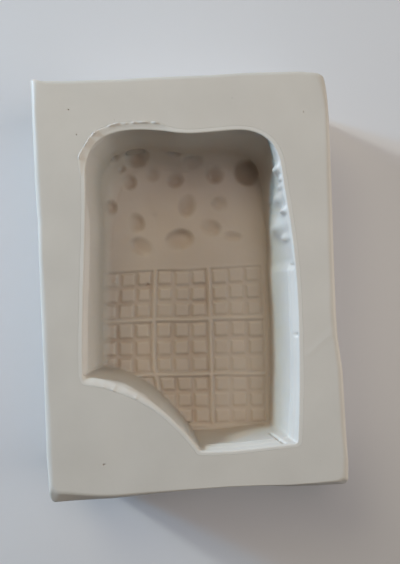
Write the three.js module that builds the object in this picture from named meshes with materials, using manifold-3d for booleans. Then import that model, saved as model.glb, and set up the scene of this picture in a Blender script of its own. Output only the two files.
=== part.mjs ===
// Open-face silicone block mould for casting a bitten wafer bar with a dipped, pebbled end.
// Millimetres, +Z up, cavity facing up. The origin is the middle of the underside.
import * as THREE from 'three';
import { mergeVertices } from 'three/addons/utils/BufferGeometryUtils.js';
import Module from 'manifold-3d';

const wasm = await Module();
wasm.setup();

// Block: a hand-poured brick whose four sides aren't quite square.
const BLOCK_HEIGHT = 34;
const BLOCK_CORNERS = [[-37.1, -52.9], [38.7, -52.5], [36.6, 52.9], [-38.7, 52.4]];
const BLOCK_CORNER_RADIUS = 2.2;
const BLOCK_EDGE_ROUNDING = 0.8;

// Cavity: how high its floor stands, and how far its outline draws in at the sides and at the ends.
const FLOOR_HEIGHT = 10;
const LEDGE_DROP = 2.0;
const LEDGE_ROUNDING = 0.4;
const SIDE_INSET_AT_LEDGE = 1.6;
const SIDE_INSET_AT_FLOOR = 4.1;
const END_INSET = 0.9;
const SIDE_LEAN = -1.2;
const FAR_RIGHT_STEEPENING = 0.6;
const FAR_RIGHT_STARTS = 0;
const FAR_RIGHT_FULL = 30;
const END_ROUNDING = 3.5;
const END_ROUNDING_STARTS = 20;
const END_ROUNDING_FULL = 34;
const END_ROUNDING_STEPS = 4;

// Detail coat: the skin of silicone against the master, with a thin flange on the block's face.
const COAT_WALL = 2.2;
const COAT_FLOOR = 4.6;
const FLANGE_WIDTH = 1.9;
const FLANGE_THICKNESS = 1.2;
const GAP = 0.3;
const CURVE_STEPS = 9;

// Wafer pattern: square fields between ridges, each with three by three raised pads.
const FIELD_PITCH = 16.05;
const FIELDS_PER_SIDE = 3;
const RIDGE_WIDTH = 1.1;
const FIELD_DEPTH = 1.1;
const FIELD_CENTRE = new THREE.Vector2(-2.0, -18.4);
const PATTERN_TURN = THREE.MathUtils.degToRad(-1);
const PAD_PITCH = 4.95;
const PADS_PER_SIDE = 3;
const PAD_SIDE = 3.7;
const PAD_HEIGHT = 0.85;
const PAD_ROOT = 0.5;

// Pebble pits: across, along, width, length, depth below the surface, turn in degrees.
const PITS = [
  [-13.8, 36.2, 6.8, 6.4, 3.0, 0],
  [-19.6, 35.6, 2.6, 3.6, 1.2, 20],
  [-3.3, 37.2, 4.2, 3.2, 1.2, 0],
  [2.2, 35.4, 5.6, 5.0, 1.4, 20],
  [8.7, 31.6, 4.9, 4.9, 1.6, 0],
  [18.0, 32.1, 7.2, 7.4, 3.2, 0],
  [-3.0, 30.3, 4.4, 3.8, 1.4, 25],
  [-16.4, 29.8, 3.8, 4.4, 1.3, 0],
  [-9.4, 31.9, 3.6, 3.4, 0.8, 0],
  [-18.8, 33.4, 2.8, 2.8, 0.8, 0],
  [-22.0, 22.8, 3.4, 4.0, 1.2, 0],
  [0.1, 22.9, 4.4, 6.6, 1.1, -8],
  [9.8, 23.0, 4.8, 4.0, 0.8, 0],
  [-14.7, 18.1, 4.5, 5.0, 1.2, 15],
  [6.7, 16.3, 6.3, 4.3, 1.0, -20],
  [-2.4, 12.9, 7.8, 5.5, 1.6, 8],
  [-13.2, 11.1, 6.6, 4.4, 1.1, -30],
  [13.2, 13.3, 5.0, 2.6, 0.7, -10],
];

const silicone = new THREE.MeshStandardMaterial({ color: 0xb3aea5, roughness: 0.55, metalness: 0 });
const coatSilicone = new THREE.MeshStandardMaterial({ color: 0xab9f8c, roughness: 0.5, metalness: 0 });

// ---- outlines, counter-clockwise seen from above ----

function blockOutline() {
  const corners = BLOCK_CORNERS.map(([x, y]) => new THREE.Vector2(x, y));
  const shape = new THREE.Shape();
  corners.forEach((corner, i) => {
    const before = corners[(i + corners.length - 1) % corners.length];
    const after = corners[(i + 1) % corners.length];
    const start = corner.clone().add(before.clone().sub(corner).setLength(BLOCK_CORNER_RADIUS));
    const end = corner.clone().add(after.clone().sub(corner).setLength(BLOCK_CORNER_RADIUS));
    if (i === 0) shape.moveTo(start.x, start.y);
    else shape.lineTo(start.x, start.y);
    shape.quadraticCurveTo(corner.x, corner.y, end.x, end.y);
  });
  return shape.closePath();
}

// The mouth of the cavity: the bite is the curve at the lower left, from the bottom to the left side.
function mouthOutline() {
  const shape = new THREE.Shape();
  shape.moveTo(1.0, -43.1);
  shape.lineTo(9.3, -43.2);
  shape.lineTo(26.0, -42.0);
  shape.bezierCurveTo(27.4, -22, 27.9, 0, 25.8, 15.5);
  shape.lineTo(24.0, 29.8);
  shape.bezierCurveTo(23.2, 36.0, 19.0, 38.9, 13.0, 38.8);
  shape.bezierCurveTo(5.0, 38.6, 1.5, 37.4, -5.5, 38.9);
  shape.bezierCurveTo(-19.0, 40.8, -26.2, 38.0, -26.2, 28.2);
  shape.bezierCurveTo(-26.2, 12, -28.0, -4, -28.2, -23.2);
  shape.bezierCurveTo(-16.8, -24.3, -7.5, -31.0, 1.0, -43.1);
  return shape.closePath();
}

// Moves each corner of a closed outline inwards, along the bisector of its two sides.
function insetOutline(outline, inset) {
  const count = outline.length;
  return outline.map((point, i) => {
    const arriving = point.clone().sub(outline[(i + count - 1) % count]).normalize();
    const leaving = outline[(i + 1) % count].clone().sub(point).normalize();
    const bisector = new THREE.Vector2(-arriving.y - leaving.y, arriving.x + leaving.x);
    return point.clone().addScaledVector(bisector, 2 * inset / bisector.lengthSq());
  });
}

// ---- solids ----

function toManifold(geometry) {
  const bare = geometry.clone();
  bare.deleteAttribute('normal');
  bare.deleteAttribute('uv');
  const merged = mergeVertices(bare, 1e-4);
  return new wasm.Manifold(new wasm.Mesh({
    numProp: 3,
    vertProperties: new Float32Array(merged.attributes.position.array),
    triVerts: new Uint32Array(merged.index.array),
  }));
}

function toMesh(solid, name, material) {
  const { vertProperties, triVerts } = solid.getMesh();
  const geometry = new THREE.BufferGeometry();
  geometry.setAttribute('position', new THREE.BufferAttribute(vertProperties, 3));
  geometry.setIndex(new THREE.BufferAttribute(triVerts, 1));
  geometry.computeVertexNormals();
  const mesh = new THREE.Mesh(geometry, material);
  mesh.name = name;
  return mesh;
}

// Joins rings of equal count, listed from the lowest to the highest, into one closed solid.
function loft(rings) {
  const count = rings[0].length;
  const positions = rings.flat().flatMap((p) => [p.x, p.y, p.z]);
  const cap = THREE.ShapeUtils.triangulateShape(rings[0].map((p) => new THREE.Vector2(p.x, p.y)), []);
  const index = cap.flatMap(([a, b, c]) => [a, c, b]);
  for (let r = 0; r + 1 < rings.length; r += 1) {
    for (let i = 0; i < count; i += 1) {
      const [a, b] = [r * count + i, r * count + (i + 1) % count];
      index.push(a, b, b + count, a, b + count, a + count);
    }
  }
  const top = (rings.length - 1) * count;
  const lid = rings[rings.length - 1].map((p) => new THREE.Vector2(p.x, p.y));
  index.push(...THREE.ShapeUtils.triangulateShape(lid, []).flat().map((i) => i + top));
  const geometry = new THREE.BufferGeometry();
  geometry.setAttribute('position', new THREE.Float32BufferAttribute(positions, 3));
  geometry.setIndex(index);
  return toManifold(geometry);
}

// How far the dipped end's rounding has come in at a height above the floor.
function endRounding(height) {
  if (height >= END_ROUNDING) return 0;
  return END_ROUNDING - Math.sqrt(END_ROUNDING ** 2 - (END_ROUNDING - height) ** 2);
}

const mouth = mouthOutline().getPoints(CURVE_STEPS).slice(0, -1);
const mouthBox = new THREE.Box2().setFromPoints(mouth);
const mouthCentre = mouthBox.getCenter(new THREE.Vector2());
const mouthHalf = mouthBox.getSize(new THREE.Vector2()).multiplyScalar(0.5);

// The wall's outline at height z, drawn in at the sides and the ends, and grown by `outward`.
// The right wall is steeper towards the dipped end, and that end is rounded near the floor.
function wallRing(z, side, end, outward = 0, rounding = 0) {
  const { smoothstep } = THREE.MathUtils;
  const depth = (BLOCK_HEIGHT - z) / (BLOCK_HEIGHT - FLOOR_HEIGHT);
  return insetOutline(mouth, -outward).map((point) => {
    const offset = point.clone().sub(mouthCentre).divide(mouthHalf);
    const farRight = offset.x > 0 ? smoothstep(point.y, FAR_RIGHT_STARTS, FAR_RIGHT_FULL) : 0;
    const draft = side * (1 - FAR_RIGHT_STEEPENING * farRight);
    const farEnd = smoothstep(point.y, END_ROUNDING_STARTS, END_ROUNDING_FULL);
    const x = point.x - draft * offset.x + SIDE_LEAN * depth;
    const y = point.y - end * offset.y - rounding * farEnd;
    return new THREE.Vector3(x, y, z);
  });
}

function sideInsetAt(z) {
  const ledge = BLOCK_HEIGHT - LEDGE_DROP - LEDGE_ROUNDING;
  return THREE.MathUtils.mapLinear(z, ledge, FLOOR_HEIGHT, SIDE_INSET_AT_LEDGE, SIDE_INSET_AT_FLOOR);
}

const floorRing = wallRing(FLOOR_HEIGHT, SIDE_INSET_AT_FLOOR, END_INSET, 0, END_ROUNDING);

function cavity() {
  const rings = [];
  for (let step = 0; step <= END_ROUNDING_STEPS; step += 1) {
    const angle = (step / END_ROUNDING_STEPS) * Math.PI / 2;
    const height = END_ROUNDING * (1 - Math.cos(angle));
    const z = FLOOR_HEIGHT + height;
    rings.push(wallRing(z, sideInsetAt(z), END_INSET, 0, endRounding(height)));
  }
  const ledge = BLOCK_HEIGHT - LEDGE_DROP;
  rings.push(wallRing(ledge - LEDGE_ROUNDING, SIDE_INSET_AT_LEDGE, END_INSET));
  rings.push(wallRing(ledge, LEDGE_ROUNDING, LEDGE_ROUNDING));
  rings.push(wallRing(BLOCK_HEIGHT, 0, 0));
  rings.push(wallRing(BLOCK_HEIGHT + 1, 0, 0));
  return loft(rings);
}

// The coat's outer skin with its flange, grown by `extra` for the pocket that holds it.
function coatEnvelope(extra) {
  const bottom = FLOOR_HEIGHT - COAT_FLOOR - extra;
  const flange = BLOCK_HEIGHT - FLANGE_THICKNESS - extra;
  const top = extra > 0 ? BLOCK_HEIGHT + 1 : BLOCK_HEIGHT;
  const skin = loft([
    wallRing(bottom, SIDE_INSET_AT_FLOOR, END_INSET, COAT_WALL + extra),
    wallRing(flange, SIDE_INSET_AT_LEDGE, END_INSET, COAT_WALL + extra),
    wallRing(top, SIDE_INSET_AT_LEDGE, END_INSET, COAT_WALL + extra),
  ]);
  const lip = loft([
    wallRing(flange, 0, 0, FLANGE_WIDTH + extra),
    wallRing(top, 0, 0, FLANGE_WIDTH + extra),
  ]);
  return skin.add(lip);
}

function extruded(outline, low, high) {
  const geometry = new THREE.ExtrudeGeometry(outline, { depth: high - low, bevelEnabled: false });
  return toManifold(geometry.translate(0, 0, low));
}

function box(centre, side, low, high) {
  const geometry = new THREE.BoxGeometry(side, side, high - low);
  geometry.translate(centre.x, centre.y, (low + high) / 2);
  return toManifold(geometry);
}

// Calls make(centre) for each square of a grid about `centre` and joins the solids.
function grid(centre, pitch, count, make) {
  const solids = [];
  for (let column = 0; column < count; column += 1) {
    for (let row = 0; row < count; row += 1) {
      const offset = new THREE.Vector2(column, row).subScalar((count - 1) / 2).multiplyScalar(pitch);
      solids.push(make(offset.rotateAround(new THREE.Vector2(), PATTERN_TURN).add(centre)));
    }
  }
  return solids.reduce((all, solid) => all.add(solid));
}

function fields() {
  const low = FLOOR_HEIGHT - FIELD_DEPTH;
  const side = FIELD_PITCH - RIDGE_WIDTH;
  const field = (centre) => box(centre, side, low, FLOOR_HEIGHT + 1);
  return grid(FIELD_CENTRE, FIELD_PITCH, FIELDS_PER_SIDE, field);
}

function pads() {
  const low = FLOOR_HEIGHT - FIELD_DEPTH - PAD_ROOT;
  const high = FLOOR_HEIGHT - FIELD_DEPTH + PAD_HEIGHT;
  const pad = (centre) => box(centre, PAD_SIDE, low, high);
  const padGroup = (centre) => grid(centre, PAD_PITCH, PADS_PER_SIDE, pad);
  return grid(FIELD_CENTRE, FIELD_PITCH, FIELDS_PER_SIDE, padGroup);
}

// The height of the floor under a point: flat, then rising on the rounded end.
function floorHeight(y) {
  const foot = Math.max(...floorRing.map((p) => p.y));
  const past = THREE.MathUtils.clamp(y - foot, 0, END_ROUNDING);
  return FLOOR_HEIGHT + END_ROUNDING - Math.sqrt(END_ROUNDING ** 2 - past ** 2);
}

function pits() {
  return PITS.map(([x, y, width, length, depth, turn]) => {
    const pebble = new THREE.SphereGeometry(0.5, 12, 8);
    pebble.rotateX(Math.PI / 2);
    pebble.scale(width, length, 2 * depth);
    pebble.rotateZ(THREE.MathUtils.degToRad(turn));
    return toManifold(pebble.translate(x, y, floorHeight(y)));
  }).reduce((all, solid) => all.add(solid));
}

function detailCoat() {
  const floorShape = new THREE.Shape(floorRing);
  const floorArea = extruded(floorShape, FLOOR_HEIGHT - COAT_FLOOR + 1, FLOOR_HEIGHT + 1);
  return coatEnvelope(0)
    .subtract(cavity())
    .subtract(fields().intersect(floorArea))
    .subtract(pits())
    .add(pads().intersect(floorArea));
}

function backingBlock() {
  const rounding = BLOCK_EDGE_ROUNDING;
  const geometry = new THREE.ExtrudeGeometry(blockOutline(), {
    depth: BLOCK_HEIGHT - 2 * rounding,
    bevelThickness: rounding,
    bevelSize: rounding,
    bevelOffset: -rounding,
    bevelSegments: 3,
    curveSegments: 4,
  });
  return toManifold(geometry.translate(0, 0, rounding)).subtract(coatEnvelope(GAP));
}

const mould = new THREE.Group();
mould.add(toMesh(backingBlock(), 'backing_block', silicone));
mould.add(toMesh(detailCoat(), 'detail_coat', coatSilicone));

export default mould;
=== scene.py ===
"""Silicone block mould for a bitten wafer bar with a dipped, pebbled end.

Two pieces stand for the CAD solids: the bulk pour with its slightly uneven faces, and the detail coat
that carries the cavity. Shapes are worked out in millimetres in the CAD's frame and stored in metres.
"""
import math

import bmesh
import bpy
import numpy as np
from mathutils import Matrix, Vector
from mathutils.geometry import delaunay_2d_cdt


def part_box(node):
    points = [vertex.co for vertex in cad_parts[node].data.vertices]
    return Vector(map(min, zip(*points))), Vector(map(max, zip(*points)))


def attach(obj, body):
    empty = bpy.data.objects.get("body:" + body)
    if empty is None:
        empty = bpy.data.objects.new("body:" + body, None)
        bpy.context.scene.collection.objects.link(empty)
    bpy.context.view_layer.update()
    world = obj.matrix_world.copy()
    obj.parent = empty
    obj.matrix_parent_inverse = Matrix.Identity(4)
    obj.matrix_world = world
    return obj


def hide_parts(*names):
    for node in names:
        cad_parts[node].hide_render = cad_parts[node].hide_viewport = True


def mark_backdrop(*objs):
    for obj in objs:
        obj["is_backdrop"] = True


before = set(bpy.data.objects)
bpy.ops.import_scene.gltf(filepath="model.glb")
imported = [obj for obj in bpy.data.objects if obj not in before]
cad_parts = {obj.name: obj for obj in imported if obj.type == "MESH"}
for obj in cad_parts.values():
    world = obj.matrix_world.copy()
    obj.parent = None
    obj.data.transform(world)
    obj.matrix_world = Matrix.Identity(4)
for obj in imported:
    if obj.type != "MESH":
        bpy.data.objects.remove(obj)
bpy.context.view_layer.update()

MM = 0.001

# ---- sizes, in millimetres ----

FACE_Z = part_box("backing_block")[1][2] / MM
FLOOR_Z = 10.0
# Points in every ring, from the outside of the block to the cavity's foot.
AROUND = 640

# The cavity's walls: how far they draw in with depth, and how round they meet the floor.
LIP_DRAFT = 0.3
LEDGE_DROP = 2.0
SIDE_INSET_AT_LEDGE = 1.6
SIDE_INSET_AT_FLOOR = 4.1
RIGHT_WALL_STEEPER = 1.25
FAR_RIGHT_STEEPER = 0.6
PLAIN_WALL_CURVE = 1.3
END_INSET = 0.9
SIDE_LEAN = -1.2
FOOT_ROUNDING = 0.7
LEFT_FOOT_EXTRA = 1.6
BITE_FOOT_EXTRA = 0.6
END_ROUNDING = 5.0
# The most that the wall stands back under the mouth, and the crack in the near wall.
UNDERCUT_LIMIT = 0.95
CRACK_X, CRACK_HALF_WIDTH, CRACK_DEPTH = 22.9, 0.3, 1.2

COAT_WALL = 2.0
COAT_FLOOR = 4.4
FLANGE_THICKNESS = 1.0
FLANGE_WIDTH = 1.15
SEAM_GAP = 0.03
# What separates the two pieces under the seam: beside the coat, and below it.
POCKET_GAP = 0.3
POCKET_DROP = 0.05

FIELD_PITCH = 16.05
RIDGE_WIDTH = 1.15
RIDGE_CROWN = 0.14
ROW_SKEW = 0.0012
FIELD_DEPTH = 0.95
FIELD_CENTRE = np.array([-2.0, -18.0])
PAD_PITCH = 4.95
PAD_HALF = 1.84
PAD_HEIGHT = 0.72
FLOOR_STEP = 0.29
RIM_SOFTNESS = 0.55
STEP_SOFTNESS = 0.18

# Where the wafer's cross ridges and outer edges lie from near to far, and the even pattern they come from.
RIDGE_ROWS = (
    [-46.0, -40.2, -26.2, -10.15, 4.3, 10.0],
    [-29.3, -23.5, -8.025, 8.025, 23.5, 29.2],
)
# The left long ridge bends; the right one is straight.
LEFT_RIDGE = ([-30.0, -24.0, -10.6, 3.8], [-9.5, -10.7, -10.4, -9.4])
RIGHT_RIDGE_X = 5.85

# Small lumps on the cavity's surface, and one pinhole in its floor: centre, radius, height.
LUMPS = [
    ((-21.3, 1.3, 10.6), 0.5, 0.55), ((-11.9, 0.3, 10.0), 0.3, -1.3),
    ((-25.6, -22.2, 22.0), 0.45, 0.4), ((-23.9, 13.6, 17.0), 0.4, 0.35),
    ((21.6, -40.6, 11.2), 0.7, 0.5), ((22.6, -40.2, 12.4), 0.5, 0.45), ((20.4, -41.2, 12.0), 0.5, 0.4),
    ((23.6, -41.3, 16.0), 0.6, 0.4), ((24.4, -41.7, 25.0), 0.6, 0.4), ((17.6, 34.9, 8.2), 0.7, 0.5),
]
# Drips on the right wall, then a notch and a pinhole: place along y, height, half width, half height,
# and how far they stand in.
WALL_DRIPS = [
    (29.0, 30.6, 1.2, 2.6, 1.5), (26.2, 31.8, 0.7, 1.3, 0.8), (24.4, 30.6, 0.8, 2.0, 0.9),
    (21.8, 27.5, 1.7, 4.5, 1.3), (18.0, 31.3, 0.9, 2.2, 1.4), (14.6, 25.0, 2.6, 6.5, 1.9),
    (11.0, 29.5, 0.9, 3.0, 0.8), (3.4, 31.6, 0.6, 0.9, -0.8), (-14.6, 32.5, 0.35, 0.4, -0.9),
]
# Pinholes in the block's skin, from bubbles: on the top face, then on the sides.
PINHOLES = [
    (-18.4, 42.2, 34), (-28.4, 38.5, 34), (-30.2, 45.0, 34), (-23.3, -45.3, 34), (30.7, 43.0, 34),
    (-33.0, -15.2, 34), (-28.4, 22.0, 34), (-28.1, 20.8, 34), (-30.9, -3.0, 34), (12.0, 47.0, 34),
    (31.5, -46.8, 34),
    (38, -31, 24), (38, -12, 8), (38, 3, 27), (38, 9.5, 26), (37, 33, 15), (37, 41, 5),
    (-38.5, -40, 21), (-38.5, -18, 11), (-38.5, -16.5, 12.6), (-38.5, 21, 28), (-38.5, 44, 17),
    (-27, -53, 14), (-9, -53, 25), (6, -53, 7), (21, -53, 20), (31, -53, 11),
    (-30, 53, 23), (-12, 53, 9), (4, 53, 26), (5.5, 53, 24.6), (25, 53, 16),
]
# What each step of sinking a pinhole insets and how far it moves out.
PINHOLE_STEPS = ((0.12, 0.0), (0.05, -0.25), (0.04, -0.25))

# Pebble pits: centre, then half width, half length and depth, then the turn and the direction of the
# steeper side in degrees.
PITS = [
    ((-13.9, 36.6, 12.3), (3.5, 3.3, 3.6), 0, None),
    ((-20.2, 36.6, 13.2), (1.3, 1.9, 1.6), 20, 180),
    ((-3.3, 36.8, 13.0), (2.2, 1.7, 1.4), 0, None),
    ((2.2, 35.0, 11.2), (2.9, 2.6, 1.8), 20, None),
    ((8.7, 31.7, 10.0), (2.45, 2.45, 2.0), 0, 200),
    ((18.2, 32.2, 10.0), (3.65, 3.75, 2.6), 0, None),
    ((-3.0, 30.4, 10.0), (2.3, 1.95, 1.7), 25, -60),
    ((-16.4, 30.0, 10.0), (1.9, 2.2, 1.6), 0, 0),
    ((-9.4, 32.0, 10.0), (1.9, 1.8, 0.7), 0, None),
    ((-18.8, 34.3, 10.1), (1.5, 1.5, 0.8), 0, None),
    ((-22.1, 22.8, 10.0), (1.75, 2.0, 1.4), 0, 0),
    ((0.2, 23.0, 10.0), (2.2, 3.4, 1.3), -8, -80),
    ((9.9, 23.0, 10.0), (2.4, 2.0, 0.9), 0, 180),
    ((-14.7, 18.1, 10.0), (2.3, 2.6, 1.5), 15, 0),
    ((-9.7, 20.1, 10.0), (1.2, 1.2, 0.4), 0, None),
    ((6.8, 16.4, 10.0), (3.15, 2.15, 1.2), -20, -45),
    ((-2.4, 12.9, 10.0), (4.0, 2.8, 2.0), 8, 60),
    ((-13.2, 11.2, 10.0), (3.4, 2.3, 1.2), -30, 180),
    ((13.2, 13.4, 10.0), (2.6, 1.2, 0.7), -10, None),
]

BLOCK_HALF = (38, 53)
BLOCK_CORNERS = [(-37.1, -52.9), (38.7, -52.5), (36.6, 52.9), (-38.7, 52.4)]
# The uneven rim of the block just under its top face, counter-clockwise from the near left corner.
BLOCK_RIM = [
    (-37.5, -53.6), (-36.8, -54.8), (-29.5, -54.6), (-21.4, -54.5), (-12.2, -53.9), (-0.4, -53.1),
    (8.2, -52.9), (16.4, -53.0), (24.4, -53.5), (31.4, -53.5), (38.3, -53.4), (38.9, -52.6),
    (39.1, -47.4), (38.8, -40.5), (38.6, -28.9), (38.5, -24.2), (37.5, -15.4), (37.3, -8.4), (37.3, 11.3),
    (37.4, 25.4), (37.3, 40.1), (37.2, 44.9), (36.8, 50.0), (36.3, 52.6),
    (34.8, 53.5), (30.1, 54.0), (15.2, 53.9), (5.8, 53.4), (-6.9, 53.2), (-16.7, 52.8), (-30.8, 52.6),
    (-37.4, 52.7), (-39.0, 53.4), (-39.6, 53.2), (-39.5, 51.5),
    (-39.4, 43.1), (-39.2, 28.1), (-38.7, 16.0), (-38.5, -2.1), (-38.2, -20.7), (-38.0, -42.9),
]
# How far the near edge's bevel reaches in over the face, from left to right: place, reach.
NEAR_BEVEL = [
    (-37, 2.6), (-33.7, 2.2), (-29, 1.4), (-25, 1.0), (-12, 0.7), (0, 0.4), (16, 0.5), (28, 0.9), (38, 1.1),
]
# How far the other edges' rounding reaches in, and how far the left, right, far and near edges drop.
LEFT_EDGE_IN, RIGHT_EDGE_IN, FAR_EDGE_IN = 1.5, 1.7, 1.1
EDGE_DROPS = np.array([1.2, 1.1, 0.9, 1.7])
LOWER_EDGE = 0.7
CAVITY_MIDDLE = np.array([4.0, 4.0])
# A faint raised crease that crosses the face from the mouth to the right edge.
CREASE_START = np.array([27.6, -21.2])
CREASE_END = np.array([37.6, -12.6])
CREASE_HEIGHT, CREASE_HALF_WIDTH = 0.05, 0.8


# ---- number helpers ----

NOISE_CELLS = 32
QUARTER_TURN = math.pi / 2


def smoothstep(x, low, high):
    """0 below `low`, 1 above `high`, and a smooth rise between them."""
    t = np.clip((np.asarray(x, float) - low) / (high - low), 0, 1)
    return t * t * (3 - 2 * t)


def noise(points, size, seed):
    """Smooth random values from -1 to 1 at points, changing over about `size` millimetres."""
    lattice = np.random.default_rng(seed).uniform(-1, 1, (NOISE_CELLS,) * 3)
    q = np.asarray(points, float) / size
    if q.shape[-1] == 2:
        q = np.concatenate([q, np.zeros(q.shape[:-1] + (1,))], -1)
    cell = np.floor(q).astype(int)
    f = q - cell
    f = f * f * (3 - 2 * f)
    total = 0
    for corner in np.ndindex(2, 2, 2):
        i, j, k = np.moveaxis((cell + corner) % NOISE_CELLS, -1, 0)
        total = total + np.prod(np.where(corner, f, 1 - f), -1) * lattice[i, j, k]
    return total


def bump(x, centre, width):
    """A smooth hump of height 1."""
    return np.exp(-((x - centre) / width) ** 2)


# ---- outlines ----

def bezier(p0, p1, p2, p3, steps=60):
    t = np.linspace(0, 1, steps, endpoint=False)[:, None]
    p0, p1, p2, p3 = (np.array(p, float) for p in (p0, p1, p2, p3))
    return (1 - t) ** 3 * p0 + 3 * t * (1 - t) ** 2 * p1 + 3 * t * t * (1 - t) * p2 + t ** 3 * p3


def line(p0, p1, steps=60):
    t = np.linspace(0, 1, steps, endpoint=False)[:, None]
    return (1 - t) * np.array(p0, float) + t * np.array(p1, float)


def resampled(outline, count):
    """The closed outline at `count` evenly spaced points."""
    closed = np.vstack([outline, outline[:1]])
    run = np.concatenate([[0], np.cumsum(np.linalg.norm(np.diff(closed, axis=0), axis=1))])
    at = np.linspace(0, run[-1], count, endpoint=False)
    return np.stack([np.interp(at, run, closed[:, k]) for k in (0, 1)], 1)


def softened(outline, reach):
    """Rounds the corners of an evenly spaced closed outline over `reach` points each way."""
    weights = np.hanning(2 * reach + 3)[1:-1]
    weights = weights / weights.sum()
    return sum(w * np.roll(outline, k - reach, axis=0) for k, w in enumerate(weights))


def outward_normals(outline):
    along = np.roll(outline, -1, axis=0) - np.roll(outline, 1, axis=0)
    normal = np.stack([along[:, 1], -along[:, 0]], 1)
    return normal / np.linalg.norm(normal, axis=1, keepdims=True)


def mouth_outline():
    """The cavity's mouth, counter-clockwise from the corner where the bite meets the near end."""
    parts = [
        line((1.0, -43.1), (9.3, -43.2)),
        line((9.3, -43.2), (26.0, -42.0)),
        bezier((26.0, -42.0), (27.4, -22), (27.9, 0), (25.8, 15.5)),
        line((25.8, 15.5), (24.0, 29.8)),
        bezier((24.0, 29.8), (23.2, 36.0), (19.0, 38.9), (13.0, 38.8)),
        bezier((13.0, 38.8), (5.0, 38.6), (1.5, 37.4), (-5.5, 38.9)),
        bezier((-5.5, 38.9), (-19.0, 40.8), (-26.2, 38.0), (-26.2, 28.2)),
        bezier((-26.2, 28.2), (-26.2, 12), (-28.0, -4), (-28.2, -23.2)),
        bezier((-28.2, -23.2), (-16.8, -24.3), (-7.5, -31.0), (1.0, -43.1)),
    ]
    return softened(resampled(np.vstack(parts), AROUND), 3)


mouth = mouth_outline()
mouth_out = softened(outward_normals(mouth), 4)
mouth_out /= np.linalg.norm(mouth_out, axis=1, keepdims=True)
mouth_centre = (mouth.min(0) + mouth.max(0)) / 2
mouth_half = (mouth.max(0) - mouth.min(0)) / 2


def along_rays(outline, angles):
    """Where rays from the cavity's middle meet a closed outline with slightly rounded corners."""
    outline = softened(resampled(np.array(outline), 4000), 12)
    away = outline - CAVITY_MIDDLE
    outline_angles = np.arctan2(away[:, 1], away[:, 0])
    order = np.argsort(outline_angles)
    return np.stack([
        np.interp(angles, outline_angles[order], outline[order, k], period=2 * math.pi) for k in (0, 1)
    ], 1)


# ---- what varies round the mouth ----

mx, my = mouth.T
# Shares from 0 to 1, by where the mouth's outward direction points.
facing_right = smoothstep(mouth_out[:, 0], 0.4, 0.8)
facing_left = smoothstep(-mouth_out[:, 0], 0.4, 0.8)
facing_far = smoothstep(mouth_out[:, 1], 0.4, 0.8)
facing_near = smoothstep(-mouth_out[:, 1], 0.5, 0.9) * smoothstep(mx, 0, 3)
on_bite = smoothstep(-mouth_out[:, 1], 0.2, 0.5) * (1 - smoothstep(mx, -1, 2))

ledge_share = np.clip(
    facing_right * (1 - smoothstep(my, 2, 5.5))
    + facing_left * (1 - on_bite) * (1 - 0.75 * smoothstep(my, 14, 27))
    + facing_near + 0.5 * facing_far + 0.15 * on_bite, 0, 1)

# The bite's lip is rolled over where its outward direction points to the near end.
rolled = on_bite * smoothstep(-mouth_out[:, 1], 0.62, 0.97)
lip_rounding = 0.28 + 0.3 * on_bite + 0.75 * rolled + 0.1 * facing_far + 0.3 * facing_near
lip_reach = lip_rounding + rolled * (0.45 + 0.3 * noise(mouth, 1.4, 23))

# The torn, slightly raised edge of the coat shows on the face at the far left.
skin_share = smoothstep(my, 27, 32) * (1 - smoothstep(mx, -9, -3))
flange_width = FLANGE_WIDTH + 1.0 * rolled + 1.1 * skin_share
flange_width = flange_width + 0.2 * noise(mouth, 2.5, 21) * (0.3 + skin_share)


# ---- the coat's surfaces ----

def foot_radius():
    """How round the wall's foot is at each place: most of all at the far end."""
    plain = FOOT_ROUNDING + LEFT_FOOT_EXTRA * facing_left * (1 - on_bite) + BITE_FOOT_EXTRA * on_bite
    return plain + (END_ROUNDING - plain) * smoothstep(my, 14, 34) * (1 - 0.75 * facing_right)


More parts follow.
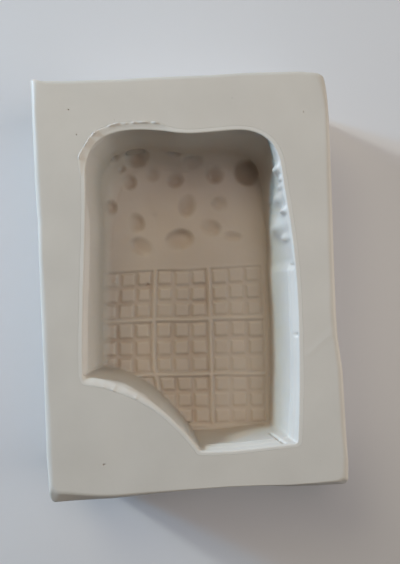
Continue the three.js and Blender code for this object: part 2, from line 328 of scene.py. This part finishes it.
def wall_ring(z, grown=0.0, detail=True):
    """The cavity wall at height z, with the ledge, the draft and the rounded foot."""
    drop = FACE_Z - z
    depth = drop / (FACE_Z - FLOOR_Z)
    step = smoothstep(drop, LEDGE_DROP - 0.3, LEDGE_DROP + 0.35)
    below = max(0.0, (drop - LEDGE_DROP) / (FACE_Z - FLOOR_Z - LEDGE_DROP))
    lip = LIP_DRAFT * min(1.0, drop / LEDGE_DROP)
    stepped = lip + step * (SIDE_INSET_AT_LEDGE - LIP_DRAFT)
    stepped = stepped + below * (SIDE_INSET_AT_FLOOR - SIDE_INSET_AT_LEDGE)
    plain = SIDE_INSET_AT_FLOOR * max(depth, 0) ** PLAIN_WALL_CURVE
    side = ledge_share * stepped + (1 - ledge_share) * plain - RIGHT_WALL_STEEPER * below * facing_right
    end = END_INSET * (ledge_share * (0.25 * lip + step) + (1 - ledge_share) * max(depth, 0))
    offset = (mouth - mouth_centre) / mouth_half
    far_right = np.where(offset[:, 0] > 0, smoothstep(my, 0, 30), 0)
    x = mx - side * (1 - FAR_RIGHT_STEEPER * far_right) * offset[:, 0] + SIDE_LEAN * depth
    y = my - end * offset[:, 1]
    radius = foot_radius()
    height = np.clip(z - FLOOR_Z, 0, radius)
    pull = radius - np.sqrt(np.maximum(radius ** 2 - (radius - height) ** 2, 0))
    ring = np.stack([x, y], 1) - offset * pull[:, None] + mouth_out * grown
    if detail:
        at = np.concatenate([ring, np.full((AROUND, 1), z)], 1)
        fade = smoothstep(drop, 0.2, 2.0)
        wave = 0.22 * noise(at, 8, 31) + 0.08 * noise(at, 2.6, 32)
        streaks = 0.07 * noise(ring, 1.0, 33) * (on_bite + 0.5 * facing_left)
        groove = 0.45 * bump(drop, LEDGE_DROP + 0.7, 0.25) * ledge_share * (facing_right + facing_near)
        torn = undercut(drop) + near_crack(z) - right_wall_drips(z) + groove
        ring = ring + mouth_out * ((wave + streaks) * fade + torn)[:, None]
    return np.concatenate([ring, np.full((AROUND, 1), float(z))], 1)


def undercut(drop):
    """How far the wall stands back just under the mouth at the far end and on the left."""
    share = 0.9 * facing_far + 0.7 * skin_share + 0.45 * facing_left * (1 - on_bite)
    return share.clip(0, UNDERCUT_LIMIT) * smoothstep(drop, 0.3, 1.4) * (1 - smoothstep(drop, 5, 14))


def right_wall_drips(z):
    """Rounded drips of the dip that stand in from the right wall, mostly just under the mouth."""
    total = np.zeros(AROUND)
    for middle, height, half_width, half_height, rise in WALL_DRIPS:
        total += rise * bump(my, middle, half_width) * math.exp(-((z - height) / half_height) ** 2)
    return total * facing_right * smoothstep(FACE_Z - z, 0.3, 1.2)


def near_crack(z):
    """The torn crack that runs down the near wall beside its right corner."""
    drop = FACE_Z - z
    length = smoothstep(drop, 0.8, 1.6) * (1 - smoothstep(drop, 7, 11))
    return CRACK_DEPTH * bump(mx, CRACK_X, CRACK_HALF_WIDTH) * facing_near * length


# For each of the nine by nine pads: its shift across and along, its growth and its lift.
PAD_JITTER = np.random.default_rng(7).uniform(-1, 1, (4, 9, 9))


def soft_edge(distance, width=0.27):
    """0 outside an edge, 1 inside it."""
    return smoothstep(distance, -width, width)


def wafer(xy):
    """The height of the wafer pattern: square fields sunk between ridges, each with nine pads."""
    x, y = np.moveaxis(xy + 0.2 * np.stack([noise(xy, 9, 3), noise(xy, 9, 4)], -1), -1, 0)
    left_ridge = np.interp(y, *LEFT_RIDGE)
    middle = (np.clip(x, left_ridge, RIGHT_RIDGE_X) - left_ridge) / (RIGHT_RIDGE_X - left_ridge) - 0.5
    u = middle * FIELD_PITCH + np.minimum(x - left_ridge, 0) + np.maximum(x - RIGHT_RIDGE_X, 0)
    v = np.interp(y - ROW_SKEW * x * (y + 10), *RIDGE_ROWS)
    uv = np.stack([u, v], -1)
    field = np.clip(np.round(uv / FIELD_PITCH), -1, 1)
    within = uv - field * FIELD_PITCH
    half = (FIELD_PITCH - RIDGE_WIDTH) / 2
    sunk = soft_edge(half - np.abs(within[..., 0])) * soft_edge(half - np.abs(within[..., 1]))
    pad = np.clip(np.round(within / PAD_PITCH), -1, 1)
    cell = (field * 3 + pad + 4).astype(int)
    shift_x, shift_y, grow, lift = PAD_JITTER[:, cell[..., 0], cell[..., 1]]
    d = within - pad * PAD_PITCH
    reach_x = PAD_HALF + 0.12 * grow - np.abs(d[..., 0] - 0.16 * shift_x)
    reach_y = PAD_HALF + 0.10 * grow - np.abs(d[..., 1] - 0.14 * shift_y)
    raised = soft_edge(reach_x) * soft_edge(reach_y)
    ridge = RIDGE_CROWN * (1 - sunk) * (1 - smoothstep(np.abs(uv).max(-1), 23, 24.5))
    worn = (1 - 0.5 * smoothstep(u, 6, 14)) * (1 - 0.35 * smoothstep(v, 17, 24))
    crispness = worn * (0.85 + 0.4 * noise(xy, 5, 8))
    return crispness * (-FIELD_DEPTH * sunk + raised * sunk * (PAD_HEIGHT + 0.16 * lift)) + ridge


def pit_push(points, inward):
    """How far each point moves along `inward`, into the silicone, to lie on the pits' surfaces."""
    push = np.zeros(points.shape[:-1])
    for centre, radii, turn, steep in PITS:
        # Points and directions in a frame where the pit is a unit sphere.
        c, s = math.cos(math.radians(turn)), math.sin(math.radians(turn))
        unturn = np.array([[c, -s, 0], [s, c, 0], [0, 0, 1]])
        q = (points - centre) @ unturn / radii
        m = inward @ unturn / radii
        a, b = (m * m).sum(-1), (q * m).sum(-1)
        inside = 1 - (q * q).sum(-1)
        reach = (-b + np.sqrt(np.maximum(b * b + a * inside, 0))) / a
        if steep is not None:
            side = math.radians(steep)
            toward = (points[..., :2] - centre[:2]) @ (math.cos(side), math.sin(side)) / max(radii[:2])
            reach = reach * (0.75 + 0.6 * np.clip(toward, -1, 1))
        push = np.maximum(push, np.where(inside > 0, reach, 0))
    return push


def floor_point_heights(xy):
    """The floor without its pits or softening."""
    height = FLOOR_Z + wafer(xy) + 0.1 * noise(xy, 6, 5)
    height += 0.22 * noise(xy, 9, 6) * smoothstep(xy[..., 1], 6, 12)
    return height


def pit_depths(xy, height):
    """How far below `height` the pits reach at each place."""
    points = np.concatenate([xy, height[..., None]], -1)
    down = np.zeros_like(points)
    down[..., 2] = -1
    return pit_push(points, down)


def spread(reach):
    """A centre and eight places round it, for averaging."""
    ring = [(reach * math.cos(a), reach * math.sin(a)) for a in np.arange(8) * math.pi / 4]
    return np.array([(0, 0)] + ring)


def floor_heights(xy):
    """The floor, averaged over small spreads so that its steps and the pits' rims are soft."""
    steps = spread(STEP_SOFTNESS)
    height = sum(floor_point_heights(xy + shift) for shift in steps) / len(steps)
    rims = spread(RIM_SOFTNESS)
    height -= sum(pit_depths(xy + shift, height) for shift in rims) / len(rims)
    for centre, size, rise in LUMPS:
        on_floor = centre[2] < FLOOR_Z + 1.5
        height += rise * bump(np.linalg.norm(xy - centre[:2], axis=-1), 0, size) * on_floor
    return height


def flange_rings():
    """From the seam's foot, up and over the flange to the rounded lip of the mouth."""
    rings = []

    def add(outward, z):
        xy = mouth + mouth_out * np.broadcast_to(outward, (AROUND,))[:, None]
        rings.append(np.concatenate([xy, np.broadcast_to(z, (AROUND,))[:, None]], 1))

    # Crumbs along the torn skin's edge, and small chips on the bite's rolled lip.
    crumbs = np.clip(0.6 + 1.3 * noise(mouth, 0.7, 22), 0, 1.6)
    chips = rolled * np.clip(1.6 * noise(mouth, 0.9, 24) - 0.7, 0, 1)
    add(flange_width, FACE_Z - FLANGE_THICKNESS)
    add(flange_width, face_heights(mouth + mouth_out * flange_width[:, None]))
    for t in np.linspace(0, 1, 9)[1:]:
        outward = flange_width - t * (flange_width - lip_reach)
        ridge = 0.34 * skin_share * crumbs * bump(t, 0.12, 0.13) + 0.4 * chips * bump(t, 0.7, 0.3)
        bevel = 0.25 * skin_share * smoothstep(t, 0.2, 1.0)
        add(outward, face_heights(mouth + mouth_out * outward[:, None]) + ridge - bevel)
    level = rings[-1][:, 2]
    for a in np.linspace(0, QUARTER_TURN, 6)[1:]:
        add(lip_reach * (1 - math.sin(a)), level - lip_rounding * (1 - math.cos(a)))
    return rings


def face_heights(xy):
    """The block's top face: nearly flat, with the slight waves of a hand-made baseboard."""
    length = np.linalg.norm(CREASE_END - CREASE_START)
    along = (CREASE_END - CREASE_START) / length
    run, off = (xy - CREASE_START) @ along, (xy - CREASE_START) @ (along[1], -along[0])
    ends = smoothstep(run, 0, 3) * (1 - smoothstep(run, length - 3, length))
    crease = CREASE_HEIGHT * bump(off, 0, CREASE_HALF_WIDTH) * ends
    return FACE_Z + 0.10 * noise(xy, 21, 11) + 0.035 * noise(xy, 6, 12) - 0.1 + crease


def inner_rings():
    """The wall from under the lip to the foot, with the pits' reach into the wall."""
    lip_foot = flange_rings()[-1]
    rims = spread(RIM_SOFTNESS)
    upper = FACE_Z - lip_rounding.max() - np.linspace(0.1, LEDGE_DROP + 1.2, 13)
    middle = np.linspace(upper[-1], FLOOR_Z + END_ROUNDING, 19)[1:]
    foot = END_ROUNDING * (1 - np.sin(np.linspace(0, QUARTER_TURN, 25)[1:]))
    rings = []
    for z in np.concatenate([upper, middle, FLOOR_Z + foot]):
        ring = wall_ring(z)
        near_lip = 1 - smoothstep(upper[0] - z, 0, 1.2)
        ring[:, 2] += (lip_foot[:, 2] - 0.1 - upper[0]) * near_lip
        height = z - FLOOR_Z
        turn = np.clip((foot_radius() - height) / foot_radius(), 0, 1)
        level = np.sqrt(1 - turn ** 2) * (1 - smoothstep(turn, 0.25, 0.75))
        inward = np.concatenate([mouth_out * level[:, None], -np.sqrt(1 - level ** 2)[:, None]], 1)
        sink = smoothstep(height, 2.2, 0.0) if height > 0 else 1.0
        ring[:, 2] += (floor_base(ring[:, :2]) - FLOOR_Z) * sink
        push = sum(pit_push(ring + (*shift, 0), inward) for shift in rims)[:, None] / len(rims)
        for centre, size, rise in LUMPS:
            push[:, 0] -= rise * bump(np.linalg.norm(ring - centre, axis=1), 0, size)
        rings.append(ring + inward * push)
    rings[-1][:, 2] = floor_heights(rings[-1][:, :2])
    return rings


def floor_base(xy):
    """The floor's pattern alone, which the lowest wall rings follow."""
    return FLOOR_Z + wafer(xy)


def with_height(xy, z):
    """Points at `xy`, all at height z or each at its own."""
    return np.concatenate([xy, np.broadcast_to(z, (len(xy),))[:, None]], 1)


def toward_middle(ring, shares, z):
    """Rings that close a hidden or flat end, drawn in to the cavity's middle."""
    return [with_height(CAVITY_MIDDLE + (ring[:, :2] - CAVITY_MIDDLE) * share, z) for share in shares]


def coat_back_rings():
    """From under the flange, down the coat's outer skin, to its flat back."""
    under = FACE_Z - FLANGE_THICKNESS
    rings = [wall_ring(under - 0.02, COAT_WALL, detail=False)]
    rings[0][:, 2] = under
    back = FLOOR_Z - COAT_FLOOR
    for z in np.linspace(under - 1.5, FLOOR_Z + 1.0, 9):
        rings.append(wall_ring(z, COAT_WALL, detail=False))
    foot = wall_ring(FLOOR_Z + 1.0, COAT_WALL, detail=False)
    rings.append(with_height(foot[:, :2], back + 0.8))
    rings.append(with_height(foot[:, :2] - mouth_out * 0.8, back))
    return rings + toward_middle(rings[-1], (0.8, 0.5, 0.2), back)


def floor_patch(edge):
    """Triangles over the cavity floor inside its edge ring: (new points, triangles over edge + new)."""
    reach = np.arange(-200, 200) * FLOOR_STEP
    grid = np.stack(np.meshgrid(reach, reach), -1).reshape(-1, 2) + FIELD_CENTRE
    inner = edge[:, :2] - outward_normals(edge[:, :2]) * FLOOR_STEP * 0.6
    grid = grid[inside_outline(grid, inner)]
    flat = [Vector(p) for p in np.vstack([edge[:, :2], grid]).tolist()]
    points, _, triangles, origins, _, _ = delaunay_2d_cdt(flat, [], [list(range(AROUND))], 1, 1e-6)
    source = np.array([o[0] for o in origins])
    triangles = source[np.array(triangles)]
    return np.concatenate([grid, floor_heights(grid)[:, None]], 1), triangles


def inside_outline(points, outline):
    """True for each point inside a closed outline, by counting crossings."""
    crossings = np.zeros(len(points), int)
    for (x0, y0), (x1, y1) in zip(outline, np.roll(outline, -1, axis=0)):
        if y0 == y1:
            continue
        spans = (points[:, 1] >= min(y0, y1)) & (points[:, 1] < max(y0, y1))
        x = x0 + (points[:, 1] - y0) * (x1 - x0) / (y1 - y0)
        crossings += spans & (points[:, 0] < x)
    return crossings % 2 == 1


def ring_quads(count):
    """Faces between `count` rings in order."""
    here = np.arange((count - 1) * AROUND)
    beside = here - here % AROUND + (here + 1) % AROUND
    return np.stack([here, beside, beside + AROUND, here + AROUND], 1)


def fan(first, centre):
    """Triangles from the ring that starts at point `first` to one middle point."""
    here = np.arange(AROUND)
    return np.stack([first + here, first + (here + 1) % AROUND, np.full(AROUND, centre)], 1)


def add_pinholes(bm, spots):
    """Sinks a small pit in the mesh face nearest to each spot; the spots are in metres."""
    centres = np.array([face.calc_center_median() for face in bm.faces])
    for spot in spots:
        face = bm.faces[int(np.argmin(np.linalg.norm(centres - spot, axis=1)))]
        for thickness, depth in PINHOLE_STEPS:
            bmesh.ops.inset_individual(bm, faces=[face], thickness=thickness * MM, depth=depth * MM)
        bm.faces.ensure_lookup_table()


def make_mesh(name, points, faces, sharp_rings=(), pinholes=()):
    """A closed smooth mesh; the edges along `sharp_rings` stay sharp."""
    mesh = bpy.data.meshes.new(name)
    mesh.from_pydata((np.asarray(points) * MM).tolist(), [], faces)
    mesh.validate()
    bm = bmesh.new()
    bm.from_mesh(mesh)
    bmesh.ops.recalc_face_normals(bm, faces=bm.faces)
    for face in bm.faces:
        face.smooth = True
    for edge in bm.edges:
        ring = edge.verts[0].index // AROUND
        edge.smooth = not (ring in sharp_rings and edge.verts[1].index // AROUND == ring)
    bm.faces.ensure_lookup_table()
    add_pinholes(bm, np.array(pinholes) * MM)
    bm.to_mesh(mesh)
    bm.free()
    piece = bpy.data.objects.new(name, mesh)
    bpy.context.scene.collection.objects.link(piece)
    return piece


def detail_coat():
    """The coat: its hidden back, the flange, the cavity's walls and the patterned floor."""
    down_the_cavity = flange_rings() + inner_rings()
    back = coat_back_rings()
    rings = list(reversed(back)) + down_the_cavity
    patch, triangles = floor_patch(rings[-1])
    edge_start = (len(rings) - 1) * AROUND
    patch_start = len(rings) * AROUND
    triangles = np.where(triangles < AROUND, triangles + edge_start, triangles - AROUND + patch_start)
    centre = rings[0].mean(0)
    points = np.vstack(rings + [patch, centre[None]])
    faces = ring_quads(len(rings)).tolist() + triangles.tolist() + fan(0, len(points) - 1).tolist()
    return make_mesh("cavity_coat", points, faces, {len(back), len(back) + 1})


# ---- the block ----

def outer_outline():
    """The block's uneven rim, its plainer lower outline, its outward directions and each side's share."""
    away = mouth - CAVITY_MIDDLE
    angles = np.arctan2(away[:, 1], away[:, 0])
    outline = along_rays(BLOCK_RIM, angles)
    straight = along_rays(BLOCK_CORNERS, angles)
    out = softened(outward_normals(straight), 3)
    out /= np.linalg.norm(out, axis=1, keepdims=True)
    left, right = smoothstep(-out[:, 0], 0.4, 0.9), smoothstep(out[:, 0], 0.4, 0.9)
    near, far = smoothstep(-out[:, 1], 0.4, 0.9), smoothstep(out[:, 1], 0.4, 0.9)
    low = straight + 0.35 * (outline - straight)
    return outline, low, out, (left, right, near, far)


def block_rings():
    """From the pocket's floor up to the seam, over the face and down the sides to the underside."""
    outline, low_outline, out, (left, right, near, far) = outer_outline()
    rings = []

    # The pocket that holds the coat, from its floor up to the seam.
    pocket = coat_back_rings()[:-3]
    foot = pocket[-2][:, :2] + mouth_out * POCKET_GAP
    floor = FLOOR_Z - COAT_FLOOR - POCKET_GAP
    rings += list(reversed(toward_middle(with_height(foot, floor), (1.0, 0.7, 0.3), floor)))
    for ring in reversed(pocket[:-2]):
        rings.append(with_height(ring[:, :2] + mouth_out * POCKET_GAP, ring[:, 2] - POCKET_DROP))
    seam = mouth + mouth_out * (flange_width + SEAM_GAP)[:, None]
    rings.append(with_height(seam, FACE_Z - FLANGE_THICKNESS - POCKET_DROP))
    rings.append(with_height(seam, face_heights(seam)))
    seam_ring = len(rings) - 1

    # The face, out to where the edge starts to turn down.
    x, y = outline.T
    side_in = np.where(x < 0, LEFT_EDGE_IN, RIGHT_EDGE_IN) * (1 + 0.3 * noise(outline, 9, 42))
    end_in = np.where(y < 0, np.interp(x, *zip(*NEAR_BEVEL)), FAR_EDGE_IN)
    reach_in = np.stack([side_in * x / BLOCK_HALF[0], end_in * y / BLOCK_HALF[1]], 1)
    weights = np.stack([left, right, far, near]) / np.maximum(left + right + far + near, 1)
    edge_drop = EDGE_DROPS @ weights
    crisp = weights[3]
    edge = outline - reach_in
    start = mouth + mouth_out * (flange_width + SEAM_GAP + 0.3)[:, None]
    for t in np.linspace(0, 1, 36):
        xy = start + (edge - start) * t
        rings.append(with_height(xy, face_heights(xy)))

    # The edge, the side and the lower edge.
    top = rings[-1][:, 2]
    for a in np.linspace(0, 1, 8)[1:]:
        round_in, round_drop = 1 - math.sin(a * QUARTER_TURN), 1 - math.cos(a * QUARTER_TURN)
        share = crisp * (1 - a) + (1 - crisp) * round_in
        drop = edge_drop * (crisp * a + (1 - crisp) * round_drop)
        rings.append(with_height(outline - reach_in * share[:, None], top - drop))
    side_top = rings[-1]
    for t in np.linspace(0, 1, 24)[1:]:
        z = side_top[:, 2] * (1 - t) + LOWER_EDGE * t
        side = outline + (low_outline - outline) * smoothstep(t, 0, 0.7)
        at = with_height(side, z)
        wave = 0.28 * noise(at, 17, 43) + 0.12 * noise(at, 5, 44)
        wave = wave + 0.08 * noise(at * (0.1, 0.1, 1), 1.6, 45)
        rings.append(with_height(side + out * (wave * smoothstep(t, 0, 0.15))[:, None], z))
    low = rings[-1]
    for a in np.linspace(0, QUARTER_TURN, 5)[1:]:
        inward, rise = LOWER_EDGE * (1 - math.cos(a)), LOWER_EDGE * (1 - math.sin(a))
        rings.append(with_height(low[:, :2] - out * inward, rise))
    rim = rings[-1]
    rings += toward_middle(rim, (0.985, 0.96, 0.9, 0.7, 0.4, 0.15), 0)
    for ring, rise in zip(rings[-6:], (0.05, 0.18, 0.3, 0.35, 0.35, 0.35)):
        ring[:, 2] = rise
    return rings, seam_ring


def backing_block():
    """The block, with its pocket for the coat."""
    rings, seam_ring = block_rings()
    first, last = rings[0].mean(0), rings[-1].mean(0)
    points = np.vstack(rings + [first[None], last[None]])
    faces = ring_quads(len(rings)).tolist()
    faces += fan(0, len(points) - 2).tolist() + fan((len(rings) - 1) * AROUND, len(points) - 1).tolist()
    return make_mesh("poured_block", points, faces, {seam_ring}, PINHOLES)


# ---- materials ----

BLOCK_COLOUR = (206, 202, 196)
COAT_TOP_COLOUR = (214, 211, 206)
# Painted shade: the coat's colour at the cavity floor is darker and warmer than at the face.
COAT_FLOOR_SHADE_COLOUR = (204, 194, 183)
COAT_GLOW = 0.7
# Painted shade tint for the grooves and pits below the floor.
GROOVE_SHADE_TINT = (0.94, 0.89, 0.85, 1)
PAPER_COLOUR = (214, 215, 220)


def srgb(r, g, b):
    """Linear colour from 0-255 display values."""
    def one(v):
        v /= 255
        return v / 12.92 if v <= 0.04045 else ((v + 0.055) / 1.055) ** 2.4
    return (one(r), one(g), one(b), 1)


def ramp(tree, source, start, end, low=0.0, high=1.0):
    """Maps source from start..end to low..high."""
    node = tree.nodes.new("ShaderNodeMapRange")
    for name, value in (("From Min", start), ("From Max", end), ("To Min", low), ("To Max", high)):
        node.inputs[name].default_value = value
    tree.links.new(source, node.inputs["Value"])
    return node.outputs[0]


def noise_pattern(tree, place, scale, detail):
    node = tree.nodes.new("ShaderNodeTexNoise")
    node.inputs["Scale"].default_value = scale
    node.inputs["Detail"].default_value = detail
    tree.links.new(place, node.inputs["Vector"])
    return node.outputs["Fac"]


def mixed(tree, blend, share, first, second):
    """Mixes two colours; each of the three inputs is a value or a socket."""
    node = tree.nodes.new("ShaderNodeMix")
    node.data_type = "RGBA"
    node.blend_type = blend
    for index, value in ((0, share), (6, first), (7, second)):
        if isinstance(value, bpy.types.NodeSocket):
            tree.links.new(value, node.inputs[index])
        else:
            node.inputs[index].default_value = value
    return node.outputs[2]


def silicone(name, top, deep_shade, glow):
    """Poured white silicone. With depth its colour turns darker and warmer as painted shade, and, if `glow`
    is over 0, its soft inner glow grows with depth and the grooves and pits below the floor get painted
    shade.
    """
    material = bpy.data.materials.new(name)
    material.use_nodes = True
    tree = material.node_tree
    shader = tree.nodes["Principled BSDF"]
    shader.inputs["Roughness"].default_value = 0.45
    shader.inputs["Specular IOR Level"].default_value = 0.4
    shader.inputs["Subsurface Radius"].default_value = (1.0, 0.85, 0.7)
    shader.inputs["Subsurface Scale"].default_value = 0.0011
    place = tree.nodes.new("ShaderNodeTexCoord").outputs["Object"]
    split = tree.nodes.new("ShaderNodeSeparateXYZ")
    tree.links.new(place, split.inputs[0])
    height = split.outputs["Z"]

    # Painted shade: the colour darkens and warms from the face down to the cavity floor.
    colour = mixed(tree, "MIX", ramp(tree, height, FACE_Z * MM, FLOOR_Z * MM), srgb(*top), srgb(*deep_shade))
    clouds = noise_pattern(tree, place, 60, 4)
    colour = mixed(tree, "MULTIPLY", 1, colour, ramp(tree, clouds, 0.3, 0.7, 0.96, 1.03))
    if glow:
        # Painted shade: the grooves and pits below the floor are tinted darker and warmer.
        groove_shade = ramp(tree, height, (FLOOR_Z - 0.1) * MM, (FLOOR_Z - 1.1) * MM)
        colour = mixed(tree, "MULTIPLY", groove_shade, colour, GROOVE_SHADE_TINT)
        inner = ramp(tree, height, (FACE_Z - 1.0) * MM, (FACE_Z - 4.0) * MM, 0.0, glow)
        tree.links.new(inner, shader.inputs["Subsurface Weight"])
    tree.links.new(colour, shader.inputs["Base Color"])

    relief = tree.nodes.new("ShaderNodeBump")
    relief.inputs["Strength"].default_value = 0.12
    relief.inputs["Distance"].default_value = 0.0002
    tree.links.new(noise_pattern(tree, place, 900, 3), relief.inputs["Height"])
    tree.links.new(relief.outputs[0], shader.inputs["Normal"])
    return material


# ---- build ----

block = backing_block()
coat = detail_coat()
block.data.materials.append(silicone("backing silicone", BLOCK_COLOUR, BLOCK_COLOUR, 0))
coat.data.materials.append(silicone("coat silicone", COAT_TOP_COLOUR, COAT_FLOOR_SHADE_COLOUR, COAT_GLOW))

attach(block, "root")
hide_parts("backing_block")
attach(coat, "root")
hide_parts("detail_coat")


# ---- floor, light and camera ----

def pale_floor():
    mesh = bpy.data.meshes.new("table_top")
    reach = 1.2
    corners = [(-reach, -reach, 0), (reach, -reach, 0), (reach, reach, 0), (-reach, reach, 0)]
    mesh.from_pydata(corners, [], [(0, 1, 2, 3)])
    floor = bpy.data.objects.new("table_top", mesh)
    bpy.context.scene.collection.objects.link(floor)
    material = bpy.data.materials.new("pale paper")
    material.use_nodes = True
    shader = material.node_tree.nodes["Principled BSDF"]
    shader.inputs["Base Color"].default_value = srgb(*PAPER_COLOUR)
    shader.inputs["Roughness"].default_value = 0.8
    mesh.materials.append(material)
    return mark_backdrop(floor)


LAMP_DISTANCE = 0.8
LAMP_AIM = Vector((0, 0, 0.02))
# Round soft lights: name, elevation, azimuth, diameter in metres, watts of red, green and blue.
LAMPS = [
    ("window", 19, 150, 0.06, (2.25, 2.40, 2.08)),
    ("window pane", 19, 157, 0.06, (0.10, 0.90, 1.50)),
    ("window sky", 12, 152, 0.30, (2.25, 2.48, 3.50)),
    ("room far", 50, 120, 0.30, (1.10, 0.98, 0.71)),
    ("ceiling far", 72, 90, 0.30, (0.79, 0.65, 0.56)),
    ("ceiling right", 72, 0, 0.30, (0.74, 0.65, 0.62)),
    ("room right", 30, 0, 0.30, (1.02, 1.14, 1.08)),
    ("wall right", 12, 0, 0.30, (1.45, 1.17, 1.02)),
]


def add_lamp(name, elevation, azimuth, diameter, power):
    data = bpy.data.lights.new(name, "AREA")
    data.shape = "DISK"
    data.size = diameter
    data.energy = max(power)
    data.color = [p / max(power) for p in power]
    light = bpy.data.objects.new(name, data)
    e, a = math.radians(elevation), math.radians(azimuth)
    away = Vector((math.cos(e) * math.cos(a), math.cos(e) * math.sin(a), math.sin(e)))
    light.location = away * LAMP_DISTANCE + LAMP_AIM
    light.rotation_euler = away.to_track_quat("Z", "Y").to_euler()
    bpy.context.scene.collection.objects.link(light)


pale_floor()
for settings in LAMPS:
    add_lamp(*settings)

world = bpy.data.worlds.new("room")
world.use_nodes = True
world.node_tree.nodes["Background"].inputs["Color"].default_value = (1.0, 0.95, 0.9, 1)
world.node_tree.nodes["Background"].inputs["Strength"].default_value = 0.02
bpy.context.scene.world = world
bpy.context.scene.view_settings.view_transform = "Standard"

camera_data = bpy.data.cameras.new("camera")
camera_data.lens = 44.7
camera_data.sensor_width = 36
camera_data.clip_start = 0.01
camera = bpy.data.objects.new("camera", camera_data)
camera.location = (-0.00595, -0.0045, 0.2129)
camera.rotation_euler = [math.radians(a) for a in (1.49, -2.57, -1.82)]
bpy.context.scene.collection.objects.link(camera)
bpy.context.scene.camera = camera
